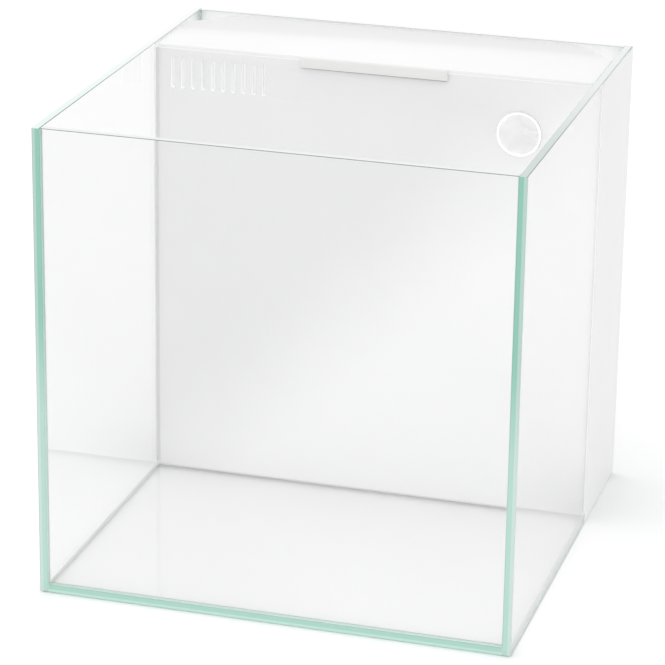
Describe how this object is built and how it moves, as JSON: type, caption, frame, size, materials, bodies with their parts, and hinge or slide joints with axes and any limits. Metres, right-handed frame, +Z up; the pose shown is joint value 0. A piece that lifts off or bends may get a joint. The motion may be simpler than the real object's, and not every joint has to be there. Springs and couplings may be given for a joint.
{
  "type": "aquarium",
  "caption": "Rimless glass cube aquarium with an opal false wall, intake comb, return outlet and a covered filter chamber at the back.",
  "frame": {"origin": "middle of the tank's outline on the surface that it stands on", "axes": "+Z up, -Y towards the front pane, +X to the right as seen from the front"},
  "size_m": [0.361, 0.3606, 0.36],
  "materials": {
    "glass": "clear float glass with polished, green-tinted edges",
    "film": "white self-adhesive film, satin",
    "silicone": "translucent grey silicone, glossy and hollow-faced",
    "opal_acrylic": "opal white acrylic, satin, brighter on its cut edges",
    "grip": "pale grey moulded strip, satin",
    "clear_acrylic": "clear acrylic tube, polished",
    "foam": "open-cell filter foam, pale grey",
    "filter_floss": "fibrous white floss",
    "ceramic_media": "porous sintered rings, unglazed",
    "basket_plastic": "white moulded plastic, satin",
    "pump_plastic": "pale grey moulded plastic, fine grain",
    "rotor": "moulded rotor over a ferrite magnet",
    "shaft": "ground white ceramic",
    "rubber": "black rubber, matt"
  },
  "bodies": {
    "tank": {"bottom_pane": "glass", "front_pane": "glass", "back_pane": "glass", "left_pane": "glass", "right_pane": "glass", "left_film": "film", "right_film": "film", "back_film": "film", "display_floor_bead": "silicone", "chamber_floor_bead": "silicone", "front_left_bead": "silicone", "front_right_bead": "silicone", "back_right_bead": "silicone", "back_left_bead": "silicone", "wall_left_bead": "silicone", "wall_right_bead": "silicone", "false_wall": "opal_acrylic", "left_divider": "opal_acrylic", "right_divider": "opal_acrylic", "left_lid_rest": "opal_acrylic", "right_lid_rest": "opal_acrylic", "riser_pipe": "clear_acrylic", "return_outlet": "clear_acrylic", "pump_body": "pump_plastic", "volute_cover": "pump_plastic", "intake_cage": "pump_plastic", "impeller_shaft": "shaft", "suction_foot_1": "rubber", "suction_foot_2": "rubber", "suction_foot_3": "rubber", "suction_foot_4": "rubber", "cord_gland": "rubber"},
    "lid": {"lid": "opal_acrylic", "lid_grip": "grip"},
    "sponge": {"filter_sponge": "foam"},
    "basket": {"media_basket": "basket_plastic", "coarse_foam": "foam", "ceramic_media": "ceramic_media", "fine_pad": "filter_floss"},
    "bail": {"basket_bail": "basket_plastic"},
    "impeller": {"impeller": "rotor"},
    "flow_dial": {"flow_dial": "basket_plastic"}
  },
  "joints": [
    {"name": "lid_lift", "type": "slide", "parent": "tank", "child": "lid", "axis": [0, 0, 1], "range_m": [0, 0.15]},
    {"name": "sponge_lift", "type": "slide", "parent": "tank", "child": "sponge", "axis": [0, 0, 1], "range_m": [0, 0.06]},
    {"name": "basket_lift", "type": "slide", "parent": "tank", "child": "basket", "axis": [0, 0, 1], "range_m": [0, 0.03]},
    {"name": "bail_swing", "type": "hinge", "parent": "basket", "child": "bail", "pos_m": [0.012, 0.12425, 0.278], "axis": [1, 0, 0], "range_deg": [-65, 65]},
    {"name": "impeller_spin", "type": "hinge", "parent": "tank", "child": "impeller", "pos_m": [0.127, 0.11975, 0.045], "axis": [0, 1, 0], "continuous": true},
    {"name": "flow_dial_turn", "type": "hinge", "parent": "tank", "child": "flow_dial", "pos_m": [0.127, 0.08475, 0.045], "axis": [0, 1, 0], "range_deg": [0, 90]}
  ]
}
